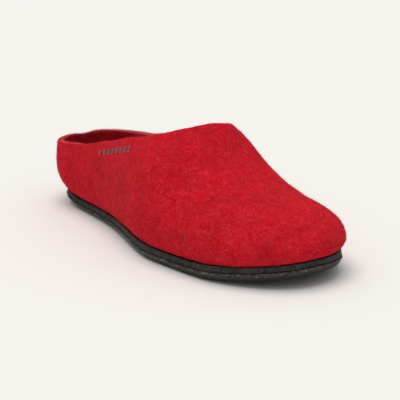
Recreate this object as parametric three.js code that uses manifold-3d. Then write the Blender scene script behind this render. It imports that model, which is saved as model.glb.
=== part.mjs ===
// Felt clog slipper for the right foot: a seamless wool felt shell, open at the collar and turned in
// under the foot, on a cupped black midsole and a rubber outsole, with a felt footbed inside.
// Millimetres. X runs from heel to toe, Y from the outer to the inner side of the foot, Z up from the floor.
import * as THREE from "three";
import { mergeVertices } from "three/addons/utils/BufferGeometryUtils.js";
import Module from "manifold-3d";

// Driving sizes of the felt shell
const shellLength = 286; // heel to toe at the widest line of the wall
const ballWidth = 104; // across the ball of the foot
const heelWidth = 69; // across the heel
const instepHeight = 87; // floor to the top of the throat
const heelHeight = 47; // floor to the collar at the back
const sideHeight = 55; // floor to the collar beside the heel, on the outer side
const toeHeight = 48; // floor to the shell over the toes
const feltWall = 4.2;
const marginWidth = 9; // felt turned in flat under the foot
const collarRounding = 1.8; // how far the cut edge of the collar rounds over

// Driving sizes of the sole and footbed
const outsoleThickness = 5.6; // under the ball and toes
const heelRubber = 4.4; // the outsole under the heel
const midsoleThickness = 2.8;
const footbedThickness = 4.2; // over the felt turned in under the foot
const lipWidth = 1.2; // top of the midsole's edge, outside the felt
const lipRounding = 0.5;
const weltStep = 0.9; // how far the outsole's top edge stands proud of the midsole
const outsoleBevel = 2.6; // how far the outsole's side draws in towards the floor at the ball
const heelBevel = 5.2; // and at the heel
const toeSpring = 8.5; // lift of the sole under the tip of the toe
const heelSpring = 2.5; // lift of the sole under the back of the heel
const archLift = 1.2; // lift of the sole under the arch
const seatGap = 0.3; // between pieces that touch

// Driving sizes of the tread: straight grooves across the sole in two fields
const treadDepth = 1.4;
const grooveWidth = 3;
const groovePitch = 10;
const treadBorder = 11; // plain rubber between a groove's end and the sole's edge
const treadFields = [
  { from: 0.09 * shellLength, to: 0.27 * shellLength },
  { from: 0.53 * shellLength, to: 0.86 * shellLength },
];

// Profile of the outsole's side: `height` as a share of its thickness, `drawn` in as a share of the bevel.
const outsoleSide = [
  { height: 0, drawn: 1.4 },
  { height: 0.1, drawn: 1 },
  { height: 0.45, drawn: 0.4 },
  { height: 0.82, drawn: 0 },
  { height: 1, drawn: 0.1 },
];

// The last. Each row is one section across the foot: `lateral` and `medial` are half widths from the
// spine, `spine` is how far the ridge line stands towards the inner side, `ridge` is the height of the
// closed last above the floor, `widest` the height at which the wall is widest, `inset` how far the
// sole's edge stands in under that line, and `fullness` the roundness of the section's shoulders.
const sections = [
  {
    at: 0.0 * shellLength,
    lateral: 0.5 * heelWidth,
    medial: 0.5 * heelWidth,
    spine: 0.015 * ballWidth,
    ridge: 1.17 * instepHeight,
    widest: 0.6 * heelHeight,
    inset: 0.125 * heelWidth,
    fullness: 2.2,
  },
  {
    at: 0.14 * shellLength,
    lateral: 0.5 * heelWidth,
    medial: 0.5 * heelWidth,
    spine: 0.015 * ballWidth,
    ridge: 1.17 * instepHeight,
    widest: 0.57 * heelHeight,
    inset: 0.1 * heelWidth,
    fullness: 2.2,
  },
  {
    at: 0.32 * shellLength,
    lateral: 0.525 * heelWidth,
    medial: 0.5 * heelWidth,
    spine: 0.01 * ballWidth,
    ridge: 1.15 * instepHeight,
    widest: 0.55 * heelHeight,
    inset: 0.07 * heelWidth,
    fullness: 2.2,
  },
  {
    at: 0.475 * shellLength,
    lateral: 0.455 * ballWidth,
    medial: 0.385 * ballWidth,
    spine: 0.02 * ballWidth,
    ridge: 1.1 * instepHeight,
    widest: 0.52 * heelHeight,
    inset: 0.04 * ballWidth,
    fullness: 2.15,
  },
  {
    at: 0.585 * shellLength,
    lateral: 0.528 * ballWidth,
    medial: 0.445 * ballWidth,
    spine: 0.027 * ballWidth,
    ridge: 1.045 * instepHeight,
    widest: 0.52 * toeHeight,
    inset: 0.037 * ballWidth,
    fullness: 2.15,
  },
  {
    at: 0.695 * shellLength,
    lateral: 0.52 * ballWidth,
    medial: 0.487 * ballWidth,
    spine: 0.035 * ballWidth,
    ridge: 0.73 * instepHeight,
    widest: 0.47 * toeHeight,
    inset: 0.04 * ballWidth,
    fullness: 2.2,
  },
  {
    at: 0.8 * shellLength,
    lateral: 0.5 * ballWidth,
    medial: 0.457 * ballWidth,
    spine: 0.06 * ballWidth,
    ridge: 1.05 * toeHeight,
    widest: 0.47 * toeHeight,
    inset: 0.033 * ballWidth,
    fullness: 2.3,
  },
  {
    at: 0.9 * shellLength,
    lateral: 0.46 * ballWidth,
    medial: 0.455 * ballWidth,
    spine: 0.09 * ballWidth,
    ridge: 0.985 * toeHeight,
    widest: 0.5 * toeHeight,
    inset: 0.035 * ballWidth,
    fullness: 2.4,
  },
  {
    at: 1.0 * shellLength,
    lateral: 0.43 * ballWidth,
    medial: 0.43 * ballWidth,
    spine: 0.105 * ballWidth,
    ridge: 0.96 * toeHeight,
    widest: 0.56 * toeHeight,
    inset: 0.037 * ballWidth,
    fullness: 2.4,
  },
];

// The collar's top line seen from each side of the foot, as heights above the floor.
const topLine = [
  { at: 0.0 * shellLength, lateral: 1.0 * heelHeight, medial: 1.0 * heelHeight },
  { at: 0.08 * shellLength, lateral: 1.04 * heelHeight, medial: 1.02 * heelHeight },
  { at: 0.15 * shellLength, lateral: 0.94 * sideHeight, medial: 0.91 * sideHeight },
  { at: 0.225 * shellLength, lateral: 1.0 * sideHeight, medial: 0.96 * sideHeight },
  { at: 0.345 * shellLength, lateral: 1.17 * sideHeight, medial: 1.1 * sideHeight },
  { at: 0.445 * shellLength, lateral: 0.835 * instepHeight, medial: 0.79 * instepHeight },
  { at: 0.525 * shellLength, lateral: 0.905 * instepHeight, medial: 0.87 * instepHeight },
  { at: 0.59 * shellLength, lateral: 0.97 * instepHeight, medial: 0.945 * instepHeight },
  { at: 0.65 * shellLength, lateral: 1.03 * instepHeight, medial: 1.03 * instepHeight },
];

// Plan shape of the rounded ends, and where the sole leaves the floor
const heelCentre = 0.14 * shellLength;
const toeCentre = 0.795 * shellLength;
const endRoundness = 2.15;
const heelBreak = 0.1 * shellLength;
const archStart = 0.28 * shellLength;
const archEnd = 0.54 * shellLength;
const toeBreak = 0.7 * shellLength;
const waistStart = 0.36 * shellLength;
const waistEnd = 0.66 * shellLength;

// Section of the closed last over its widest line: 1 / 2 makes an ellipse
const shoulderPower = 1 / 2;

// How much the ribs of the shell crowd towards the throat
const forwardLean = 0.45;

// Facets
const ribsPerSide = 38;
const marginRows = 2;
const tuckRows = 5;
const domeRows = 13;
const rimRows = 4;
const footbedEdgeShares = [0, 0.3, 0.55, 0.74];
const lipShares = [0, 0.5, 1];
const fineSteps = 120;
const halvings = 50;
const weldDistance = 1e-3;

// A smooth curve through one column of a table, whose slopes come from the rows on either side.
function through(rows, column) {
  const x = rows.map((row) => row.at);
  const y = rows.map((row) => row[column]);
  const slope = y.map((_, i) => {
    const before = Math.max(i - 1, 0);
    const after = Math.min(i + 1, y.length - 1);
    return (y[after] - y[before]) / (x[after] - x[before]);
  });
  return (at) => {
    const inside = THREE.MathUtils.clamp(at, x[0], x[x.length - 1]);
    const i = Math.max(x.findIndex((limit) => limit >= inside) - 1, 0);
    const span = x[i + 1] - x[i];
    const t = (inside - x[i]) / span;
    const rise = y[i + 1] - y[i];
    const bendIn = slope[i] * span - rise;
    const bendOut = rise - slope[i + 1] * span;
    return y[i] + t * rise + t * (1 - t) * ((1 - t) * bendIn + t * bendOut);
  };
}

const halfWidth = { lateral: through(sections, "lateral"), medial: through(sections, "medial") };
const topLineOf = { lateral: through(topLine, "lateral"), medial: through(topLine, "medial") };
const spineAt = through(sections, "spine");
const ridgeAt = through(sections, "ridge");
const widestAt = through(sections, "widest");
const insetAt = through(sections, "inset");
const fullnessAt = through(sections, "fullness");
const sign = { lateral: -1, medial: 1 };

// How far x lies into the rounded heel or toe, from 0 at the end's centre to 1 at its tip.
function endShare(x) {
  if (x > toeCentre) return (x - toeCentre) / (shellLength - toeCentre);
  if (x < heelCentre) return (heelCentre - x) / heelCentre;
  return 0;
}

// 0 on the spine and 1 on the widest line, for any point of the plan.
function reach(x, y) {
  const offset = y - spineAt(x);
  const width = halfWidth[offset < 0 ? "lateral" : "medial"](x);
  return (endShare(x) ** endRoundness + (Math.abs(offset) / width) ** endRoundness) ** (1 / endRoundness);
}

// Height of the closed last over a point of the plan.
function domeHeight(x, y) {
  const share = Math.min(reach(x, y), 1);
  const rise = (1 - share ** fullnessAt(x)) ** shoulderPower;
  return widestAt(x) + (ridgeAt(x) - widestAt(x)) * rise;
}

// Lift of the sole's underside above the floor.
function floorLift(x) {
  const toe = Math.max(x - toeBreak, 0) / (shellLength - toeBreak);
  const heel = Math.max(heelBreak - x, 0) / heelBreak;
  const arch = Math.sin(Math.PI * THREE.MathUtils.clamp((x - archStart) / (archEnd - archStart), 0, 1));
  return toeSpring * toe ** 2 + heelSpring * heel ** 2 + archLift * arch ** 2;
}

// 0 under the heel and 1 under the ball, changing smoothly along the waist.
const towardsBall = (x) => THREE.MathUtils.smoothstep(x, waistStart, waistEnd);

const outsoleAt = (x) => THREE.MathUtils.lerp(heelRubber, outsoleThickness, towardsBall(x));
const bevelAt = (x) => THREE.MathUtils.lerp(heelBevel, outsoleBevel, towardsBall(x));
const midsoleUnder = (x) => floorLift(x) + outsoleAt(x) + seatGap;

// Underside of the felt, where it rests on the midsole.
const featherHeight = (x) => midsoleUnder(x) + midsoleThickness + seatGap;

// Points at even shares of a path's length.
function evenly(path, steps, share = (q) => q) {
  const run = [0];
  for (let i = 1; i < path.length; i++) run.push(run[i - 1] + path[i].distanceTo(path[i - 1]));
  const total = run[run.length - 1];
  return Array.from({ length: steps + 1 }, (_, k) => {
    const wanted = share(k / steps) * total;
    const found = run.findIndex((r) => r >= wanted);
    const i = found < 0 ? run.length - 1 : Math.max(found, 1);
    const t = (wanted - run[i - 1]) / (run[i] - run[i - 1]);
    return path[i - 1].clone().lerp(path[i], t);
  });
}

// The widest line of one side in plan, from the back of the heel to the tip of the toe.
function widestLine(side) {
  return Array.from({ length: fineSteps + 1 }, (_, i) => {
    const x = (shellLength / 2) * (1 - Math.cos((Math.PI * i) / fineSteps));
    const across = (1 - endShare(x) ** endRoundness) ** (1 / endRoundness);
    return new THREE.Vector2(x, spineAt(x) + sign[side] * halfWidth[side](x) * Math.max(across, 0));
  });
}

// Where a falling function of x passes zero.
function crossing(low, high, value) {
  for (let i = 0; i < halvings; i++) {
    const middle = (low + high) / 2;
    if (value(middle) > 0) low = middle;
    else high = middle;
  }
  return (low + high) / 2;
}

// How far from the spine the collar lies on one side, as a share of the half width.
function collarReach(x, side) {
  const climb = (topLineOf[side](x) - widestAt(x)) / (ridgeAt(x) - widestAt(x));
  return Math.max(1 - Math.max(climb, 0) ** (1 / shoulderPower), 0) ** (1 / fullnessAt(x));
}

const throatX = crossing(heelCentre, toeCentre, (x) => ridgeAt(x) - topLineOf.lateral(x));
const collarBackX = crossing(0, heelCentre, (x) => endShare(x) - collarReach(x, "lateral"));

// The collar of one side in plan, from the back of the heel to the throat.
function collarLine(side) {
  return Array.from({ length: fineSteps + 1 }, (_, i) => {
    const x = collarBackX + ((throatX - collarBackX) / 2) * (1 - Math.cos((Math.PI * i) / fineSteps));
    const left = collarReach(x, side) ** endRoundness - endShare(x) ** endRoundness;
    const across = i === 0 || i === fineSteps ? 0 : Math.max(left, 0) ** (1 / endRoundness);
    return new THREE.Vector2(x, spineAt(x) + sign[side] * halfWidth[side](x) * across);
  });
}

// Both sides' points as one ring, anticlockwise from above: heel, outer side, toe, inner side.
function ringOf(makeSide) {
  const lateral = makeSide("lateral");
  const medial = makeSide("medial");
  return [...lateral, ...medial.slice(1, -1).reverse()];
}

const leanForward = (q) => q + forwardLean * q * (1 - q);
const widestRing = ringOf((side) => evenly(widestLine(side), ribsPerSide));
const collarRing = ringOf((side) => evenly(collarLine(side), ribsPerSide, leanForward));

// Outward direction in plan at each point of a ring.
const outward = widestRing.map((_, i) => {
  const count = widestRing.length;
  const along = widestRing[(i + 1) % count].clone().sub(widestRing[(i + count - 1) % count]).normalize();
  return new THREE.Vector2(along.y, -along.x);
});

// A point beside rib i: `out` past the widest line, at height z.
function beside(i, out, z) {
  const plan = widestRing[i].clone().addScaledVector(outward[i], out);
  return new THREE.Vector3(plan.x, plan.y, z);
}

// The wall below its widest line is a quarter ellipse that ends level on the sole.
const tuckAt = (x) => insetAt(x) + lipWidth + feltWall;

// A point of that quarter, turned `angle` down from the widest line, `proud` outside the felt.
function tuckPoint(i, angle, proud = 0) {
  const x = widestRing[i].x;
  const deep = tuckAt(x);
  const tall = widestAt(x) - featherHeight(x);
  const out = -deep * (1 - Math.cos(angle));
  const normal = new THREE.Vector2(Math.cos(angle) / deep, Math.sin(angle) / tall).normalize();
  const z = widestAt(x) - tall * Math.sin(angle) - proud * normal.y;
  return beside(i, out + proud * normal.x, z);
}

// One rib of the shell's outer face, from the edge of the margin under the foot to the collar.
function rib(i) {
  const x = widestRing[i].x;
  const level = featherHeight(x);
  const inner = -tuckAt(x);
  const margin = [beside(i, inner - marginWidth, level), beside(i, inner, level)];
  const tuck = Array.from({ length: fineSteps + 1 }, (_, k) =>
    tuckPoint(i, (Math.PI / 2) * (1 - k / fineSteps)),
  );
  const dome = Array.from({ length: fineSteps + 1 }, (_, k) => {
    const share = 1 - Math.cos((Math.PI / 2) * (k / fineSteps));
    const plan = widestRing[i].clone().lerp(collarRing[i], share);
    return new THREE.Vector3(plan.x, plan.y, domeHeight(plan.x, plan.y));
  });
  return [
    ...evenly(margin, marginRows),
    ...evenly(tuck, tuckRows).slice(1),
    ...evenly(dome, domeRows).slice(1),
  ];
}

// Rows of a grid turned into columns, and back.
const turned = (grid) => grid[0].map((_, k) => grid.map((line) => line[k]));

// Outward normals of a grid of rings, each ring closed and the rings running upwards.
function normalsOf(rings) {
  const count = rings[0].length;
  return rings.map((ring, k) =>
    ring.map((_, i) => {
      const above = rings[Math.min(k + 1, rings.length - 1)][i];
      const below = rings[Math.max(k - 1, 0)][i];
      const along = ring[(i + 1) % count].clone().sub(ring[(i + count - 1) % count]);
      return along.cross(above.clone().sub(below)).normalize();
    }),
  );
}

// A closed skin over rings: round and round, and either back to the first ring or capped at both ends.
function skin(rings, capped) {
  const count = rings[0].length;
  const half = count / 2;
  const positions = rings.flat().flatMap((p) => [p.x, p.y, p.z]);
  const faces = [];
  const last = capped ? rings.length - 1 : rings.length;
  for (let k = 0; k < last; k++) {
    const low = k * count;
    const high = ((k + 1) % rings.length) * count;
    for (let i = 0; i < count; i++) {
      const next = (i + 1) % count;
      faces.push(low + i, low + next, high + next, low + i, high + next, high + i);
    }
  }
  const cap = (start, up) => {
    for (let i = 0; i < half; i++) {
      const corners = [i, i + 1, (count - i - 1) % count, (count - i) % count].map((c) => start + c);
      const strips = [
        [corners[0], corners[1], corners[2]],
        [corners[0], corners[2], corners[3]],
      ];
      for (const strip of strips) {
        if (new Set(strip).size < 3) continue;
        faces.push(...(up ? strip : strip.reverse()));
      }
    }
  };
  if (capped) {
    cap(0, false);
    cap((rings.length - 1) * count, true);
  }
  const geometry = new THREE.BufferGeometry();
  geometry.setAttribute("position", new THREE.Float32BufferAttribute(positions, 3));
  geometry.setIndex(faces);
  return geometry;
}

// The felt shell: outer face, rounded collar edge, inner face a wall's thickness inside.
function shellGeometry() {
  const outer = turned(widestRing.map((_, i) => rib(i)));
  const normals = normalsOf(outer);
  const inner = outer.map((ring, k) =>
    ring.map((p, i) => p.clone().addScaledVector(normals[k][i], -feltWall)),
  );
  const top = outer.length - 1;
  const edge = Array.from({ length: rimRows - 1 }, (_, r) => {
    const angle = (Math.PI * (r + 1)) / rimRows;
    return outer[top].map((p, i) => {
      const up = p.clone().sub(outer[top - 1][i]).normalize();
      const middle = p.clone().lerp(inner[top][i], 0.5);
      return middle
        .addScaledVector(normals[top][i], (feltWall / 2) * Math.cos(angle))
        .addScaledVector(up, collarRounding * Math.sin(angle));
    });
  });
  return skin([...outer, ...edge, ...[...inner].reverse()], false);
}

const ribIndexes = widestRing.map((_, i) => i);

// A ring `out` beside the widest line, with its height worked out from x.
const ringAt = (outOf, heightOf) =>
  ribIndexes.map((i) => {
    const x = widestRing[i].x;
    return beside(i, outOf(x), heightOf(x));
  });

// Angle down the tuck at which the felt leaves the midsole's lip.
const lipAngle = (x) => Math.acos(1 - (insetAt(x) + lipWidth) / tuckAt(x));

// A ring on the tuck, at `share` of the way from the lip to the underside.
const underFelt = (share, proud) =>
  ribIndexes.map((i) => {
    const angle = THREE.MathUtils.lerp(lipAngle(widestRing[i].x), Math.PI / 2, share);
    return tuckPoint(i, angle, proud);
  });

// The midsole: a flat bed with an edge that cups the felt.
function midsoleGeometry() {
  const lip = underFelt(0, seatGap);
  const edge = (inward, below) =>
    ribIndexes.map((i) => beside(i, -insetAt(widestRing[i].x) - inward, lip[i].z - below));
  return skin(
    [
      ringAt((x) => -insetAt(x), midsoleUnder),
      edge(0, lipRounding),
      edge(lipRounding, 0),
      ...lipShares.map((share) => underFelt(share, seatGap)),
    ],
    true,
  );
}

// The outsole before its tread is cut: proud top edge, side drawn in towards the floor.
function outsoleGeometry() {
  const rings = outsoleSide.map(({ height, drawn }) =>
    ringAt(
      (x) => weltStep - insetAt(x) - drawn * bevelAt(x),
      (x) => floorLift(x) + height * outsoleAt(x),
    ),
  );
  return skin(rings, true);
}

// The footbed: fills the shell's floor, with a plug through the opening in the margin, and its edge
// rises round the foot, up the inside of the felt.
function footbedGeometry() {
  const clear = feltWall + seatGap;
  const plugSide = (x) => -tuckAt(x) - marginWidth - seatGap;
  const bedUnder = (x) => featherHeight(x) + clear;
  const bedTop = (x) => bedUnder(x) + footbedThickness;
  const bedSide = (x) => -tuckAt(x) - clear;
  const edge = (share) => ribIndexes.map((i) => tuckPoint(i, (Math.PI / 2) * (1 - share), -clear));
  return skin(
    [
      ringAt(plugSide, featherHeight),
      ringAt(plugSide, bedUnder),
      ...footbedEdgeShares.map(edge),
      ringAt(bedSide, bedTop),
    ],
    true,
  );
}

const wasm = await Module();
wasm.setup();

// A closed geometry as a solid that can be cut.
function solidOf(geometry) {
  const bare = geometry.clone();
  bare.deleteAttribute("normal");
  bare.deleteAttribute("uv");
  const merged = mergeVertices(bare, weldDistance);
  return new wasm.Manifold(
    new wasm.Mesh({
      numProp: 3,
      vertProperties: merged.attributes.position.array,
      triVerts: new Uint32Array(merged.index.array),
    }),
  );
}

function geometryOf(solid) {
  const { vertProperties, triVerts } = solid.getMesh();
  const geometry = new THREE.BufferGeometry();
  geometry.setAttribute("position", new THREE.BufferAttribute(vertProperties, 3));
  geometry.setIndex(new THREE.BufferAttribute(triVerts, 1));
  return geometry;
}

// One bar for each groove of the tread.
function treadCutters() {
  return treadFields.flatMap(({ from, to }) => {
    const count = Math.floor((to - from) / groovePitch);
    return Array.from({ length: count + 1 }, (_, k) => {
      const x = from + k * groovePitch;
      const across = (1 - endShare(x) ** endRoundness) ** (1 / endRoundness);
      const border = insetAt(x) + treadBorder;
      const low = spineAt(x) - halfWidth.lateral(x) * across + border;
      const high = spineAt(x) + halfWidth.medial(x) * across - border;
      const bar = new THREE.BoxGeometry(grooveWidth, high - low, 2 * treadDepth);
      return bar.translate(x, (low + high) / 2, floorLift(x));
    });
  });
}

function treadedOutsole() {
  let solid = solidOf(outsoleGeometry());
  for (const cutter of treadCutters()) solid = solid.subtract(solidOf(cutter));
  return geometryOf(solid);
}

const felt = new THREE.MeshStandardMaterial({ color: 0xb5192a, roughness: 0.95, metalness: 0 });
const feltInside = new THREE.MeshStandardMaterial({ color: 0x8c1a24, roughness: 0.95, metalness: 0 });
const midsoleBlack = new THREE.MeshStandardMaterial({ color: 0x1c1c1d, roughness: 0.8, metalness: 0 });
const rubber = new THREE.MeshStandardMaterial({ color: 0x2e2f31, roughness: 0.65, metalness: 0 });

function piece(name, geometry, material) {
  const mesh = new THREE.Mesh(geometry, material);
  mesh.name = name;
  return mesh;
}

const slipper = new THREE.Group();
slipper.add(
  piece("upper", shellGeometry(), felt),
  piece("insole", footbedGeometry(), feltInside),
  piece("midsole", midsoleGeometry(), midsoleBlack),
  piece("outsole", treadedOutsole(), rubber),
);

// The origin is on the floor under the middle of the slipper's box.
const box = new THREE.Box3().setFromObject(slipper);
slipper.position.set(-(box.min.x + box.max.x) / 2, -(box.min.y + box.max.y) / 2, 0);

export default slipper;
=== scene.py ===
# %% [markdown]
# # A felt clog slipper
#
# The slipper is one shell of boiled wool felt on a thin black sole. Its pieces, sizes and places come
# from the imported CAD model, which stands still as a frame. Every visible piece here is a finer copy of
# a CAD solid or something small that sits on one: loose wool fibres and a stitched mark.

# %% Load the frame
import math

import bmesh
import bpy
from mathutils import Matrix, Vector, noise
from mathutils.bvhtree import BVHTree


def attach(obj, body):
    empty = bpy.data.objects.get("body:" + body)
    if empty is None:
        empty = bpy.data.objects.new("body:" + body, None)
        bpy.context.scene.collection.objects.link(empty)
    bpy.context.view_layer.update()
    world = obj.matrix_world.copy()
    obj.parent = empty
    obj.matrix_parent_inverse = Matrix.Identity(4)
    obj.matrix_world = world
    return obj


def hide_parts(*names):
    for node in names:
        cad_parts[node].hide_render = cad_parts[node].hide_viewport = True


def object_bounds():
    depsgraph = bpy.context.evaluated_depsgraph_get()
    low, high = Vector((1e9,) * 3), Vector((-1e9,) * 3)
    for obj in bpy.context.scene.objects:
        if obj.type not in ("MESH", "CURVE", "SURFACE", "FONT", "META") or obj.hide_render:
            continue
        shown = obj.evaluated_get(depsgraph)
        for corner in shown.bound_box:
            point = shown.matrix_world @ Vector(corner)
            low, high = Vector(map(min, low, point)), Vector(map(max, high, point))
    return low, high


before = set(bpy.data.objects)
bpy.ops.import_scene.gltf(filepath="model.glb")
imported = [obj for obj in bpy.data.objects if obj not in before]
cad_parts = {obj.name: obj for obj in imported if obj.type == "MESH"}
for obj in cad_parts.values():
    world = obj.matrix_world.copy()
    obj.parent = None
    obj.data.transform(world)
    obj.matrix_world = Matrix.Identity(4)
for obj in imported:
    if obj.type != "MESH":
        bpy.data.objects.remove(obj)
cad_low, cad_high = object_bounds()
mm = 0.001
print("CAD box in mm:", [round(side / mm, 1) for side in cad_high - cad_low])

# %% [markdown]
# ## Finer copies of the solids
#
# A CAD solid is made of flat triangles. To turn it into a smooth form it could be remeshed, but that
# would round its edges off and lose its rings. Its triangles pair up into the quads that they were cut
# from, and a subdivision surface then follows those rings, so the form stays close to the solid.


# %% Turn a form into a mesh and a mesh into an object
def mesh_from(form, name):
    mesh = bpy.data.meshes.new(name)
    form.to_mesh(mesh)
    form.free()
    return mesh


def new_object(name, data):
    made = bpy.data.objects.new(name, data)
    bpy.context.scene.collection.objects.link(made)
    return made


# %% Copy a solid as quads
same_place = 0.01 * mm
flat_enough = math.radians(35)
square_enough = math.radians(65)


def quad_copy(node, name):
    """A copy of a CAD node's mesh, its triangles joined to quads where they pair up."""
    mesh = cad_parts[node].data.copy()
    mesh.materials.clear()
    form = bmesh.new()
    form.from_mesh(mesh)
    bmesh.ops.remove_doubles(form, verts=form.verts, dist=same_place)
    bmesh.ops.join_triangles(
        form, faces=form.faces, angle_face_threshold=flat_enough, angle_shape_threshold=square_enough
    )
    bmesh.ops.recalc_face_normals(form, faces=form.faces)
    form.to_mesh(mesh)
    form.free()
    quads = sum(len(face.vertices) == 4 for face in mesh.polygons)
    print(f"{name}: {len(mesh.polygons)} faces, {quads} of them quads")
    return new_object(name, mesh)


# %% Smooth it and keep the result as a plain mesh
def settle(piece):
    """Apply what modifiers the piece has."""
    bpy.context.view_layer.update()
    finished = piece.evaluated_get(bpy.context.evaluated_depsgraph_get())
    mesh = bpy.data.meshes.new_from_object(finished)
    piece.modifiers.clear()
    piece.data = mesh


def shade_smooth(piece):
    piece.data.polygons.foreach_set("use_smooth", [True] * len(piece.data.polygons))


def subdivide(piece, levels):
    finer = piece.modifiers.new("finer", "SUBSURF")
    finer.levels = levels
    finer.render_levels = levels
    settle(piece)
    shade_smooth(piece)
    print(f"{piece.name}: {len(piece.data.vertices)} vertices after {levels} levels")
    return piece


# %% Read and move a mesh's vertices
def places_and_normals(piece):
    """Lists of vertex positions and normals, read before anything moves, because a move outdates both."""
    vertices = piece.data.vertices
    return [vertex.co.copy() for vertex in vertices], [vertex.normal.copy() for vertex in vertices]


def move_to(piece, places):
    piece.data.vertices.foreach_set("co", [value for place in places for value in place])
    piece.data.update()


# %% Give a mesh a value at each vertex
def store(piece, name, values):
    """A named value at each vertex, which a material or another step can read."""
    attribute = piece.data.attributes.new(name, "FLOAT", "POINT")
    attribute.data.foreach_set("value", [float(value) for value in values])


def smoothstep(low, high, value):
    """A smooth rise from 0 where the value is low to 1 where it is high."""
    share = min(max((value - low) / (high - low), 0.0), 1.0)
    return share * share * (3 - 2 * share)


# %% [markdown]
# ## A fuller heel
#
# Felt is blocked over a last by hand, so the heel comes out a little rounder than it is drawn, and the
# sole turns up with it. The pieces could be pulled one by one, but then felt and sole would part. So one
# rule pushes the heel of every copy out and up by a few millimetres, and they still meet.

# %% Push the heel out
heel_middle_x = cad_low.x + 45 * mm
heel_blend = 28 * mm
heel_out = 2.0 * mm
heel_up = 3.9 * mm
heel_up_heights = (20 * mm, 38 * mm)


def fuller(place):
    """Where a point lies once the heel is fuller. Nothing ahead of the heel moves."""
    outwards = Vector((place.x - heel_middle_x, place.y, 0)).normalized()
    behind = smoothstep(heel_middle_x, heel_middle_x - heel_blend, place.x)
    turned_up = behind * (1 - smoothstep(*heel_up_heights, place.z))
    return place + outwards * heel_out * behind + Vector((0, 0, heel_up * turned_up))


sole_end = Vector((cad_low.x, 0, heel_up_heights[0]))
print("the sole's last point moves to", [round(value / mm, 1) for value in fuller(sole_end)])

# %% [markdown]
# ## The felt shell
#
# Felt has no weave and no seam. What shows is a slightly uneven wall and a soft, hand-cut edge at the
# collar. The unevenness could be left to the material, but it also roughens the outline, so every
# vertex is moved a little along its normal by three sizes of noise.

# %% Find the inner face
felt_levels = 2
foot_line_height = 32 * mm
foot_line_ends = (heel_middle_x, cad_high.x - 51 * mm)
inner_facing = (-0.35, 0.1)

shell = subdivide(quad_copy("upper", "felt_shell"), felt_levels)


def facing_out(place, normal):
    """1 where the felt faces away from the middle of the foot, -1 inside, near 0 on the cut edge."""
    x = min(max(place.x, foot_line_ends[0]), foot_line_ends[1])
    away = place - Vector((x, 0, foot_line_height))
    return away.normalized().dot(normal)


places, normals = places_and_normals(shell)
outness = [facing_out(place, normal) for place, normal in zip(places, normals)]
inside = [1 - smoothstep(*inner_facing, out) for out in outness]
# The inside value marks where painted shade darkens the felt's inner face.
store(shell, "inside", inside)
print("vertices inside:", sum(value > 0.5 for value in inside))

# %% Find the cut edge
collar_heights = (40 * mm, 42 * mm)
throat_fade = (32 * mm, 37 * mm)
edge_facing = (0.35, 0.75)


def near_collar(place):
    """1 along the collar and the throat, 0 over the toes and low on the sides, where there is no edge."""
    return smoothstep(*collar_heights, place.z) * (1 - smoothstep(*throat_fade, place.x))


edge = [
    (1 - smoothstep(*edge_facing, abs(out))) * near_collar(place) for out, place in zip(outness, places)
]
# The cut_edge value also places a paler colour on the rim: partly the edge's own loose fibres, partly
# painted sheen.
store(shell, "cut_edge", edge)
print("vertices on the cut edge:", sum(value > 0.5 for value in edge))

# %% Roll the rim in around the heel
rim_ends = (-105 * mm, -70 * mm)
rim_heights = (31 * mm, 42 * mm)
rim_bulge = 1.7 * mm
rim_inner_facing = (0.1, 0.7)
rim_softened = 1.0 * mm
rim_corner_facing = ((0.0, 0.35), (0.6, 0.98))


def rolled(start, normal, out):
    """How far the felt bulges in around the heel, where its rim is thick and its outer corner soft."""
    share = (1 - smoothstep(*rim_ends, start.x)) * smoothstep(*rim_heights, start.z)
    inner_face = smoothstep(*rim_inner_facing, -out)
    corner_starts, corner_ends = rim_corner_facing
    outer_corner = smoothstep(*corner_starts, out) * (1 - smoothstep(*corner_ends, out))
    return normal * share * (rim_bulge * inner_face - rim_softened * outer_corner)


# %% Make the felt uneven
waves = [
    {"size": 42 * mm, "height": 0.55 * mm},
    {"size": 13 * mm, "height": 0.3 * mm},
    {"size": 3.2 * mm, "height": 0.2 * mm},
]
rim_dip = {"centre": Vector((-142 * mm, 3 * mm, 47 * mm)), "reach": 11 * mm, "depth": 1.5 * mm}
rim_waves = {"size": 16 * mm, "height": 0.8 * mm}


def unevenness(point):
    return sum(wave["height"] * noise.noise(point / wave["size"]) for wave in waves)


def felted(start, normal, on_edge, out):
    """Where a point of the smooth shell lies on the uneven felt."""
    moved = fuller(start) + normal * unevenness(start) + rolled(start, normal, out)
    moved.z += on_edge * rim_waves["height"] * noise.noise(start / rim_waves["size"])
    dip = 1 - smoothstep(0, rim_dip["reach"], (start - rim_dip["centre"]).length)
    moved.z -= rim_dip["depth"] * dip
    return moved


places = [felted(*point) for point in zip(places, normals, edge, outness)]
move_to(shell, places)
print("the noise moves the felt by up to", round(sum(wave["height"] for wave in waves) / mm, 2), "mm")

# %% [markdown]
# ## The stitched mark
#
# Below the collar on the outer side the felt carries a small embroidered mark. Here it is a plain row of
# slanted bars. They could be painted on, but thread stands up and catches light. So each bar is a few
# strands laid side by side, and each strand is a thin rod that rises from the felt and goes back in,
# bent over the surface that a ray finds.

# %% Threads that follow the felt
strands_per_bar = 3
strand_pitch = 0.42 * mm
thread_radius = 0.25 * mm
thread_lift = 0.2 * mm
thread_sink = 0.35 * mm
rod_sides = 6
rod_cuts = 5
ray_start_y = cad_low.y - 20 * mm

felt_tree = BVHTree.FromObject(shell, bpy.context.evaluated_depsgraph_get())


def on_outer_side(x, z):
    """The felt's surface on the outer side of the foot, at this place along it and height."""
    hit, normal, _, _ = felt_tree.ray_cast(Vector((x, ray_start_y, z)), Vector((0, 1, 0)))
    return hit, normal


def faces_at(vertices):
    return list({face for vertex in vertices for face in vertex.link_faces})


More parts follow.
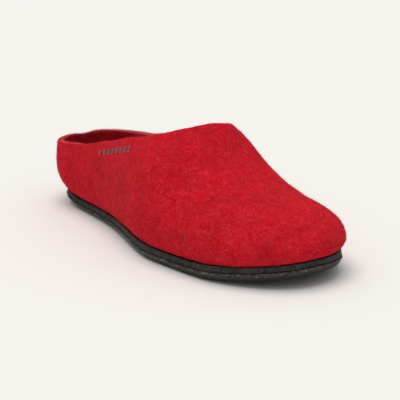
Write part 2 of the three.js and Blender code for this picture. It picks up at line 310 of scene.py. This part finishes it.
def cut_rod(mark):
    """The vertices of a rod of length 1 along Z, cut across so that it can bend."""
    rod = bmesh.ops.create_cone(
        mark, cap_ends=True, segments=rod_sides, radius1=thread_radius, radius2=thread_radius, depth=1
    )["verts"]
    for cut in range(1, rod_cuts):
        body = faces_at(rod)
        around = list({edge for face in body for edge in face.edges}) + body + rod
        at = Vector((0, 0, cut / rod_cuts - 0.5))
        made = bmesh.ops.bisect_plane(mark, geom=around, plane_co=at, plane_no=(0, 0, 1))["geom_cut"]
        rod += [item for item in made if isinstance(item, bmesh.types.BMVert)]
    return rod


def strand(mark, low, high):
    """One thread from `low` to `high`, both given as (x, z), laid on the felt."""
    for vertex in cut_rod(mark):
        along = vertex.co.z + 0.5
        x = low[0] + (high[0] - low[0]) * along
        z = low[1] + (high[1] - low[1]) * along
        hit, normal = on_outer_side(x, z)
        arch = math.sin(math.pi * along)
        lift = thread_lift * arch - thread_sink * (1 - arch) ** 3
        across = Vector((high[0] - low[0], 0, high[1] - low[1])).cross(normal).normalized()
        vertex.co = hit + normal * (lift + vertex.co.y) + across * vertex.co.x


# %% Sew the bars, every second one in a darker thread
mark_from = Vector((-55, 0, 54.6)) * mm
mark_to = Vector((-9, 0, 67.4)) * mm
bar_count = 15
bar_height = 4.4 * mm
bar_slant = 1.9 * mm

mark_along = (mark_to - mark_from).normalized()
mark_up = Vector((-(mark_to - mark_from).z, 0, (mark_to - mark_from).x)).normalized()
half_bar = mark_up * bar_height / 2
mark_threads = []
for tone in range(2):
    sewn = bmesh.new()
    for bar in range(tone, bar_count, 2):
        middle = mark_from.lerp(mark_to, bar / (bar_count - 1))
        for number in range(strands_per_bar):
            shift = (number - (strands_per_bar - 1) / 2) * strand_pitch
            low = middle - half_bar + mark_along * (shift - bar_slant / 2)
            high = middle + half_bar + mark_along * (shift + bar_slant / 2)
            strand(sewn, (low.x, low.z), (high.x, high.z))
    bmesh.ops.recalc_face_normals(sewn, faces=sewn.faces)
    name = f"mark_threads_{tone + 1}"
    threads = new_object(name, mesh_from(sewn, name))
    shade_smooth(threads)
    mark_threads.append(threads)
    print(f"{name}: {len(threads.data.polygons)} faces")

# %% [markdown]
# ## Wool fuzz
#
# Short fibres stand off boiled wool and soften its outline. A hair system would give thousands of them,
# but hair is left out when a model is exported. So one bent fibre is modelled, and Geometry Nodes sets
# copies of it on the felt, turns each at random and makes them real mesh.

# %% One fibre
fibre_length = 2.1 * mm
fibre_radius = 0.06 * mm
fibre_sides = 3
fibre_middle = 0.45 * fibre_length
fibre_knee = 0.4 * fibre_length
fibre_bend = 0.5 * mm


def fibre_mesh(name):
    """A thin cone with its root just under the felt, bent above its knee."""
    form = bmesh.new()
    bmesh.ops.create_cone(
        form, cap_ends=True, segments=fibre_sides, radius1=fibre_radius, radius2=0, depth=fibre_length
    )
    bmesh.ops.translate(form, verts=form.verts, vec=(0, 0, fibre_middle))
    everything = form.verts[:] + form.edges[:] + form.faces[:]
    bmesh.ops.bisect_plane(form, geom=everything, plane_co=(0, 0, fibre_knee), plane_no=(0, 0, 1))
    for vertex in form.verts:
        vertex.co.x += fibre_bend * max(vertex.co.z / fibre_length, 0) ** 2
    bmesh.ops.remove_doubles(form, verts=form.verts, dist=same_place / 10)
    bmesh.ops.recalc_face_normals(form, faces=form.faces)
    return mesh_from(form, name)


fibre = bpy.data.objects.new("wool_fibre", fibre_mesh("wool_fibre"))
shade_smooth(fibre)
print("one fibre:", len(fibre.data.polygons), "faces")


# %% Helpers for node trees
def connect(tree, value, socket):
    """Link what another node puts out, or set a plain value."""
    if isinstance(value, bpy.types.NodeSocket):
        tree.links.new(value, socket)
    else:
        socket.default_value = value


def add(tree, kind, inputs=None, **settings):
    """A new node with these settings. Its inputs are named, or counted from 0."""
    made = tree.nodes.new(kind)
    for key, value in settings.items():
        setattr(made, key, value)
    for key, value in (inputs or {}).items():
        connect(tree, value, made.inputs[key])
    return made


def new_group(name, kind, inputs, outputs):
    """An empty node group, with pairs of a label and a kind for what goes in and what comes out."""
    tree = bpy.data.node_groups.new(name, kind)
    for way, sockets in (("INPUT", inputs), ("OUTPUT", outputs)):
        for label, socket_kind in sockets:
            tree.interface.new_socket(label, in_out=way, socket_type=socket_kind)
    return tree


def math_node(tree, operation, first, second):
    return add(tree, "ShaderNodeMath", {0: first, 1: second}, operation=operation).outputs[0]


# %% Turn each fibre at random
def turned(tree, rotation, by):
    return add(
        tree,
        "FunctionNodeRotateRotation",
        {"Rotation": rotation, "Rotate By": by},
        rotation_space="LOCAL",
    ).outputs[0]


def random_turn(tree, rotation, lean, seed):
    """A rotation turned about the felt's normal by any angle, then leant over by one within `lean`."""
    angles = add(
        tree,
        "FunctionNodeRandomValue",
        {"Min": (lean[0], 0, -math.pi), "Max": (lean[1], 0, math.pi), "Seed": seed},
        data_type="FLOAT_VECTOR",
    )
    x, _, z = add(tree, "ShaderNodeSeparateXYZ", {0: angles.outputs[0]}).outputs
    spin = add(tree, "ShaderNodeCombineXYZ", {"Z": z}).outputs[0]
    tilt = add(tree, "ShaderNodeCombineXYZ", {"X": x}).outputs[0]
    return turned(tree, turned(tree, rotation, spin), tilt)


# %% Fibres on a surface
def grow_fibres(name, ground, where, per_square_metre, lean, scale, seed):
    """A mesh of fibres on `ground`, as dense as its value `where` says, leaning by `lean` radians."""
    geometry = [("Geometry", "NodeSocketGeometry")]
    tree = new_group(name, "GeometryNodeTree", geometry, geometry)
    start = add(tree, "NodeGroupInput").outputs[0]
    share = add(tree, "GeometryNodeInputNamedAttribute", {"Name": where}, data_type="FLOAT").outputs[0]
    density = math_node(tree, "MULTIPLY", share, per_square_metre)
    points = add(
        tree,
        "GeometryNodeDistributePointsOnFaces",
        {"Mesh": start, "Density": density, "Seed": seed},
    ).outputs
    size = add(
        tree, "FunctionNodeRandomValue", {2: scale[0], 3: scale[1], "Seed": seed + 2}, data_type="FLOAT"
    )
    copies = add(
        tree,
        "GeometryNodeInstanceOnPoints",
        {
            "Points": points["Points"],
            "Instance": add(tree, "GeometryNodeObjectInfo", {"Object": fibre}).outputs["Geometry"],
            "Rotation": random_turn(tree, points["Rotation"], lean, seed + 1),
            "Scale": size.outputs[1],
        },
    )
    real = add(tree, "GeometryNodeRealizeInstances", {0: copies.outputs[0]})
    add(tree, "NodeGroupOutput", {0: real.outputs[0]})
    piece = new_object(name, ground.data.copy())
    piece.modifiers.new("fibres", "NODES").node_group = tree
    settle(piece)
    print(f"{name}: {len(piece.data.polygons)} faces")
    return piece


# %% Cover the outer felt and the collar's edge
fuzz_low = 12 * mm
outer_facing = (0.1, 0.5)
outer = [smoothstep(*outer_facing, out) * (place.z > fuzz_low) for out, place in zip(outness, places)]
store(shell, "outer_fuzz", outer)
felt_fuzz = grow_fibres(
    "felt_fuzz", shell, "outer_fuzz", per_square_metre=240000, lean=(0.8, 1.5), scale=(0.5, 1.2), seed=11
)
collar_fuzz = grow_fibres(
    "collar_fuzz", shell, "cut_edge", per_square_metre=2200000, lean=(0.1, 1.3), scale=(0.5, 1.2), seed=23
)
stray_fuzz = grow_fibres(
    "stray_fuzz", shell, "outer_fuzz", per_square_metre=220000, lean=(0.1, 1.0), scale=(0.4, 1.2), seed=37
)

# %% [markdown]
# ## The footbed
#
# The footbed is a firm pad covered with the same wool, and it lies on the shell's floor. It could take
# the shell's waves, but a pad is flatter than a wall of felt. One long, low wave is enough, and only
# the top of the pad moves with it.

# %% Smooth the footbed
footbed = subdivide(quad_copy("insole", "footbed"), felt_levels)
footbed_waves = {"size": 18 * mm, "height": 0.25 * mm}
places, normals = places_and_normals(footbed)
for place, normal in zip(places, normals):
    place.z += max(normal.z, 0) * footbed_waves["height"] * noise.noise(place / footbed_waves["size"])
places = [fuller(place) for place in places]
move_to(footbed, places)
print("footbed top at", round(max(place.z for place in places) / mm, 1), "mm")

# %% [markdown]
# ## The sole
#
# Midsole and outsole are moulded and keep crisp edges. A subdivision surface would melt those edges, so
# the flat faces of these copies are joined and each edge gets a narrow bevel instead.

# %% Bevel the sole's edges
joined_below = math.radians(0.5)
bevelled_above = math.radians(40)
bevel_segments = 2


def bevelled_copy(node, name, width):
    piece = quad_copy(node, name)
    form = bmesh.new()
    form.from_mesh(piece.data)
    bmesh.ops.dissolve_limit(
        form,
        angle_limit=joined_below,
        verts=form.verts,
        edges=form.edges,
        use_dissolve_boundaries=False,
    )
    form.to_mesh(piece.data)
    form.free()
    rounder = piece.modifiers.new("rounded edges", "BEVEL")
    rounder.width = width
    rounder.segments = bevel_segments
    rounder.limit_method = "ANGLE"
    rounder.angle_limit = bevelled_above
    rounder.use_clamp_overlap = True
    settle(piece)
    shade_smooth(piece)
    move_to(piece, [fuller(vertex.co) for vertex in piece.data.vertices])
    print(f"{name}: {len(piece.data.polygons)} faces after the bevel")
    return piece


midsole = bevelled_copy("midsole", "midsole_foam", width=0.35 * mm)
outsole = bevelled_copy("outsole", "rubber_outsole", width=0.3 * mm)

# %% Find the underside, which the rubber darkens with painted shade
underside_facing = (0.25, 0.65)
_, sole_normals = places_and_normals(outsole)
facing_down = [smoothstep(*underside_facing, -normal.z) for normal in sole_normals]
store(outsole, "facing_down", facing_down)
print("outsole vertices that face down:", sum(value > 0.5 for value in facing_down))

# %% [markdown]
# ## Materials
#
# Boiled wool is a mat of crimped fibres: cloudy at arm's length, speckled close up, with paler hairs
# lying over darker hollows. A picture of felt would blur from close by, and noise stays sharp. So one
# node group makes the three scales from noise, and each wool material colours them in its own way.


# %% Noise, thin lines and weighted sums
def noise_node(tree, place, scale, detail, roughness, distortion):
    return add(
        tree,
        "ShaderNodeTexNoise",
        {
            "Vector": place,
            "Scale": scale,
            "Detail": detail,
            "Roughness": roughness,
            "Distortion": distortion,
        },
    ).outputs[0]


def hair_lines(tree, place, scale, width):
    """Thin crimped lines: where a noise passes its middle value."""
    wander = noise_node(tree, place, scale, detail=2, roughness=0.6, distortion=1.8)
    off_middle = math_node(tree, "ABSOLUTE", math_node(tree, "SUBTRACT", wander, 0.5), 0)
    return add(
        tree,
        "ShaderNodeMapRange",
        {"Value": off_middle, "From Min": 0, "From Max": width, "To Min": 1, "To Max": 0},
        interpolation_type="SMOOTHSTEP",
    ).outputs[0]


def weighted(tree, first, first_share, second):
    """A sum in which the first value has this share and the second one the rest."""
    return math_node(
        tree,
        "ADD",
        math_node(tree, "MULTIPLY", first, first_share),
        math_node(tree, "MULTIPLY", second, 1 - first_share),
    )


# %% Felted wool as a node group
tuft_share = 0.55
speckle_share = 0.75

wool = new_group(
    "felted_wool",
    "ShaderNodeTree",
    [("Place", "NodeSocketVector")],
    [(label, "NodeSocketFloat") for label in ("Cloud", "Speckle", "Hairs", "Height")],
)
wool_in = add(wool, "NodeGroupInput").outputs[0]
cloud = noise_node(wool, wool_in, scale=58, detail=3, roughness=0.6, distortion=0.5)
tuft = noise_node(wool, wool_in, scale=240, detail=4, roughness=0.62, distortion=0.7)
grain = noise_node(wool, wool_in, scale=760, detail=3, roughness=0.7, distortion=0.2)
speckle = weighted(wool, tuft, tuft_share, grain)
long_hairs = hair_lines(wool, wool_in, scale=150, width=0.02)
short_hairs = hair_lines(wool, wool_in, scale=260, width=0.025)
hairs = math_node(wool, "MAXIMUM", long_hairs, short_hairs)
height = weighted(wool, speckle, speckle_share, hairs)
add(wool, "NodeGroupOutput", {"Cloud": cloud, "Speckle": speckle, "Hairs": hairs, "Height": height})
print("felted_wool:", len(wool.nodes), "nodes")


# %% A start for every material
def new_material(name):
    """A material, its node tree, its shader and the place on the object that its textures read."""
    material = bpy.data.materials.new(name)
    material.use_nodes = True
    tree = material.node_tree
    place = add(tree, "ShaderNodeTexCoord").outputs["Object"]
    return material, tree, tree.nodes["Principled BSDF"], place


def set_shader(tree, shader, **values):
    """Set or link the shader's inputs. An underscore stands for a space in an input's name."""
    for key, value in values.items():
        connect(tree, value, shader.inputs[key.replace("_", " ")])


# %% Colours and bumps
def mix_colour(tree, share, first, second, blend="MIX"):
    return add(
        tree, "ShaderNodeMix", {0: share, 6: first, 7: second}, data_type="RGBA", blend_type=blend
    ).outputs[2]


def shade(tree, colour, by):
    return mix_colour(tree, 1.0, colour, by, "MULTIPLY")


def value_at(tree, name):
    return add(tree, "ShaderNodeAttribute", attribute_name=name).outputs["Fac"]


def ramp(tree, value, stops):
    """The colour that a value has between these stops, each a position and a colour."""
    made = add(tree, "ShaderNodeValToRGB", {0: value})
    while len(made.color_ramp.elements) < len(stops):
        made.color_ramp.elements.new(0.5)
    for element, (position, colour) in zip(made.color_ramp.elements, stops):
        element.position = position
        element.color = colour
    return made.outputs[0]


def bump(tree, height, strength, distance):
    return add(
        tree, "ShaderNodeBump", {"Height": height, "Strength": strength, "Distance": distance}
    ).outputs[0]


# %% Wool colours
wool_dark = (0.51, 0.001, 0.008, 1)
wool_red = (0.61, 0.006, 0.019, 1)
wool_light = (0.715, 0.020, 0.043, 1)
speckle_stops = [(0.36, wool_dark), (0.5, wool_red), (0.66, wool_light)]
cloud_stops = [(0.34, (0.76, 0.7, 0.72, 1)), (0.62, (1, 1, 1, 1))]
cloud_share = 0.75
wool_hair = (0.88, 0.12, 0.13, 1)
# Paler rim colour: partly the cut edge's own loose fibres, partly painted sheen where the rim is seen at a
# grazing angle.
wool_edge_and_sheen = (0.84, 0.19, 0.19, 1)
edge_share = 0.7
# Painted shade: this colour multiplies the felt's inner face darker.
painted_inside_shade = (0.6, 0.9, 0.9, 1)
sheen_tint = (1.0, 0.14, 0.17, 1)
untinted = (1, 1, 1, 1)
footbed_tint = (0.6, 0.6, 0.62, 1)


# %% Red felt
def wool_material(name, hair_share, tint):
    """Speckled wool under soft clouds, with pale hairs, a cut edge paler partly from its own loose fibres
    and partly from painted sheen, and painted shade darkening the inside.
    """
    material, tree, shader, place = new_material(name)
    effect = add(tree, "ShaderNodeGroup", {"Place": place}, node_tree=wool).outputs
    speckled = ramp(tree, effect["Speckle"], speckle_stops)
    clouds = ramp(tree, effect["Cloud"], cloud_stops)
    clouded = mix_colour(tree, cloud_share, speckled, clouds, "MULTIPLY")
    hair_here = math_node(tree, "MULTIPLY", effect["Hairs"], hair_share)
    hairy = mix_colour(tree, hair_here, clouded, wool_hair)
    # The cut edge is paled, partly for its own loose fibres and partly as painted sheen.
    cut_here = math_node(tree, "MULTIPLY", value_at(tree, "cut_edge"), edge_share)
    cut_edge_and_sheen = mix_colour(tree, cut_here, hairy, wool_edge_and_sheen)
    # Painted shade: the inner face is multiplied darker where the inside value is high.
    shaded = mix_colour(tree, value_at(tree, "inside"), cut_edge_and_sheen, shade(tree, cut_edge_and_sheen, painted_inside_shade))
    set_shader(
        tree,
        shader,
        Base_Color=shade(tree, shaded, tint),
        Normal=bump(tree, effect["Height"], strength=0.65, distance=0.9 * mm),
        Roughness=0.95,
        Specular_IOR_Level=0.05,
        Sheen_Weight=0.22,
        Sheen_Roughness=0.3,
        Sheen_Tint=sheen_tint,
    )
    return material


felt_red = wool_material("red_felt", hair_share=0.3, tint=untinted)
felt_footbed = wool_material("footbed_felt", hair_share=0.2, tint=footbed_tint)
print("felt materials:", felt_red.name, felt_footbed.name)

# %% Loose fibres
fibre_stops = [(0.35, (0.60, 0.006, 0.018, 1)), (0.65, (0.84, 0.04, 0.055, 1))]
fuzz_material, tree, shader, place = new_material("wool_fibre")
strand_tone = noise_node(tree, place, scale=500, detail=1, roughness=0.5, distortion=0)
set_shader(
    tree,
    shader,
    Base_Color=ramp(tree, strand_tone, fibre_stops),
    Roughness=0.9,
    Specular_IOR_Level=0.1,
    Sheen_Weight=0.1,
    Sheen_Tint=(1, 0.4, 0.4, 1),
)
print("fibre material:", fuzz_material.name)

# %% Grey thread
thread_tones = {"thread_light": 0.19, "thread_dark": 0.05}
# Painted shade in the hollows of the thread's twist and painted highlight on its ridges; the bump follows
# the same wave.
thread_hollow_painted_shade = (0.55, 0.5, 0.48)
thread_ridge_painted_highlight = (1.2, 1.15, 1.1)


def toned(colour, tone):
    return (*(channel * tone for channel in colour), 1)


thread_materials = []
for name, tone in thread_tones.items():
    material, tree, shader, place = new_material(name)
    wave = {"Vector": place, "Scale": 900, "Distortion": 1.5}
    # The twist wave paints shade into its hollows and highlight onto its ridges, as well as bumping them.
    twist = add(tree, "ShaderNodeTexWave", wave, bands_direction="DIAGONAL").outputs[1]
    set_shader(
        tree,
        shader,
        Base_Color=ramp(tree, twist, [(0.0, toned(thread_hollow_painted_shade, tone)), (1.0, toned(thread_ridge_painted_highlight, tone))]),
        Normal=bump(tree, twist, strength=0.5, distance=0.1 * mm),
        Roughness=0.6,
        Sheen_Weight=0.2,
    )
    thread_materials.append(material)
print("thread materials:", [material.name for material in thread_materials])

# %% [markdown]
# ## Rubber and foam
#
# The midsole is matt and nearly black. The outsole is ground rubber: dark grey with small pale grains.
# The grains could be modelled, but they are about a millimetre across or smaller. So noise of two sizes,
# put through a colour ramp, draws them, and noise makes the surface rough too.

# %% Midsole foam
foam_stops = [(0.40, (0.003, 0.0025, 0.0025, 1)), (0.60, (0.055, 0.046, 0.045, 1))]
fine_share = 0.6
foam, tree, shader, place = new_material("midsole_foam")
pores = noise_node(tree, place, scale=900, detail=3, roughness=0.6, distortion=0)
smears = noise_node(tree, place, scale=130, detail=4, roughness=0.65, distortion=0.8)
set_shader(
    tree,
    shader,
    Base_Color=ramp(tree, weighted(tree, pores, fine_share, smears), foam_stops),
    Normal=bump(tree, pores, strength=0.5, distance=0.25 * mm),
    Roughness=0.75,
    Specular_IOR_Level=0.35,
)
print("foam material:", foam.name)

# %% Outsole rubber
rubber_stops = [
    (0.38, (0.007, 0.007, 0.006, 1)),
    (0.50, (0.026, 0.025, 0.024, 1)),
    (0.61, (0.17, 0.163, 0.158, 1)),
]
# Painted shade: outsole faces that turn down towards the floor are multiplied by this.
painted_underside_shade = (0.15, 0.15, 0.15, 1)
crumb_share = 0.6
rubber, tree, shader, place = new_material("sole_rubber")
crumbs = noise_node(tree, place, scale=520, detail=3, roughness=0.65, distortion=0.3)
specks = noise_node(tree, place, scale=1100, detail=2, roughness=0.6, distortion=0)
rubber_tone = weighted(tree, crumbs, crumb_share, specks)
grains = ramp(tree, rubber_tone, rubber_stops)
underside = shade(tree, grains, painted_underside_shade)
set_shader(
    tree,
    shader,
    # Painted shade on the underside and the drawn-in lower edge of the outsole.
    Base_Color=mix_colour(tree, value_at(tree, "facing_down"), grains, underside),
    Normal=bump(tree, rubber_tone, strength=0.8, distance=0.5 * mm),
    Roughness=0.6,
    Specular_IOR_Level=0.4,
)
print("rubber material:", rubber.name)

# %% Put the materials on
finishes = [
    (shell, felt_red, "felt", ["upper"]),
    (felt_fuzz, fuzz_material, "felt", []),
    (collar_fuzz, fuzz_material, "felt", []),
    (stray_fuzz, fuzz_material, "felt", []),
    (mark_threads[0], thread_materials[0], "felt", []),
    (mark_threads[1], thread_materials[1], "felt", []),
    (footbed, felt_footbed, "footbed_felt", ["insole"]),
    (midsole, foam, "midsole_foam", ["midsole"]),
    (outsole, rubber, "sole_rubber", ["outsole"]),
]
for piece, material, slot, nodes in finishes:
    piece.data.materials.clear()
    piece.data.materials.append(material)
    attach(piece, "root")
    if nodes:
        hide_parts(*nodes)
    print(piece.name, "wears", material.name)

# %% [markdown]
# ## Floor and light
#
# The slipper stands on a seamless pale ground in very even light, with only a soft dark line where the
# sole meets the floor. A plain bright world would give that light, but it would flatten the felt. So the
# sky is brighter overhead than at the horizon, and one very wide sun above, a little towards the outer
# side, gives the soft shadow.

# %% Floor
floor_half = 8.0
floor_colour = (0.86, 0.845, 0.82, 1)
ground = bmesh.new()
bmesh.ops.create_grid(ground, x_segments=1, y_segments=1, size=floor_half)
floor = new_object("floor", mesh_from(ground, "floor"))
floor_material, tree, shader, _ = new_material("pale_floor")
set_shader(tree, shader, Base_Color=floor_colour, Roughness=0.9, Specular_IOR_Level=0.1)
floor.data.materials.append(floor_material)
print("floor:", 2 * floor_half, "m wide")

# %% Sky
sky_colour = (1.0, 0.99, 0.965, 1)
horizon_strength = 0.17
zenith_strength = 0.6
full_strength_height = 0.6

world = bpy.data.worlds.new("studio")
world.use_nodes = True
tree = world.node_tree
backdrop = tree.nodes["Background"]
sky_way = add(tree, "ShaderNodeTexCoord").outputs["Generated"]
sky = add(
    tree,
    "ShaderNodeMapRange",
    {
        "Value": add(tree, "ShaderNodeSeparateXYZ", {0: sky_way}).outputs["Z"],
        "From Min": 0,
        "From Max": full_strength_height,
        "To Min": horizon_strength,
        "To Max": zenith_strength,
    },
    interpolation_type="SMOOTHSTEP",
)
connect(tree, sky_colour, backdrop.inputs["Color"])
connect(tree, sky.outputs[0], backdrop.inputs["Strength"])
bpy.context.scene.world = world
print("sky strength from", horizon_strength, "to", zenith_strength)

# %% Sun
towards_sun = Vector((0, -0.14, 1))
lamp_data = bpy.data.lights.new("overhead", "SUN")
lamp_data.energy = 1.66
lamp_data.angle = math.radians(48)
lamp = new_object("overhead", lamp_data)
lamp.rotation_mode = "QUATERNION"
lamp.rotation_quaternion = towards_sun.to_track_quat("Z", "Y")
bpy.context.scene.view_settings.view_transform = "Standard"
print("sun strength", round(lamp_data.energy, 2), "over", round(math.degrees(lamp_data.angle)), "degrees")

# %% [markdown]
# ## Camera
#
# The camera stands where the photograph's camera stood: its place and lens were worked out from the
# slipper's outline. It could move closer until the slipper fills the frame, but that would change the
# slipper's shape in the picture. It turns a little towards the slipper and zooms in instead.

# %% Where the photograph was taken from
image_side = 400
photo_focal = 960.0
photo_azimuth = math.radians(56.064)
photo_elevation = math.radians(18.078)
photo_distance = 0.965
photo_origin_at = (129.51, 281.14)
slipper_middle_at = (141.5, 256.0)


def through_pixel(place):
    """The direction through a pixel of the photograph, in the camera's own axes."""
    half = image_side / 2
    return Vector(((place[0] - half) / photo_focal, (half - place[1]) / photo_focal, -1)).normalized()


back = Vector(
    (
        math.sin(photo_azimuth) * math.cos(photo_elevation),
        -math.cos(photo_azimuth) * math.cos(photo_elevation),
        math.sin(photo_elevation),
    )
)
seen = through_pixel(photo_origin_at)
steep = math.atan2(seen.z, seen.y)
tilt = math.asin(-back.z / math.hypot(seen.y, seen.z)) - steep
tilted = Matrix.Rotation(tilt, 3, "X") @ seen
turn = math.atan2(-back.y, -back.x) - math.atan2(tilted.y, tilted.x)
photo_view = Matrix.Rotation(turn, 3, "Z") @ Matrix.Rotation(tilt, 3, "X")
aim = Vector((0, 0, -1)).rotation_difference(through_pixel(slipper_middle_at)).to_matrix()
print("the camera tilts by", round(math.degrees(tilt), 1), "degrees")

# %% Set the camera up
zoom = 1.42
sensor_width = 36.0
camera_data = bpy.data.cameras.new("camera")
camera_data.sensor_width = sensor_width
camera_data.lens = photo_focal * zoom / image_side * sensor_width
camera_data.clip_start = 0.05
camera_data.clip_end = 50
camera = new_object("camera", camera_data)
camera.matrix_world = Matrix.Translation(back * photo_distance) @ (photo_view @ aim).to_4x4()
bpy.context.scene.camera = camera
print("camera at", [round(value, 3) for value in camera.location], "lens", round(camera_data.lens, 1))
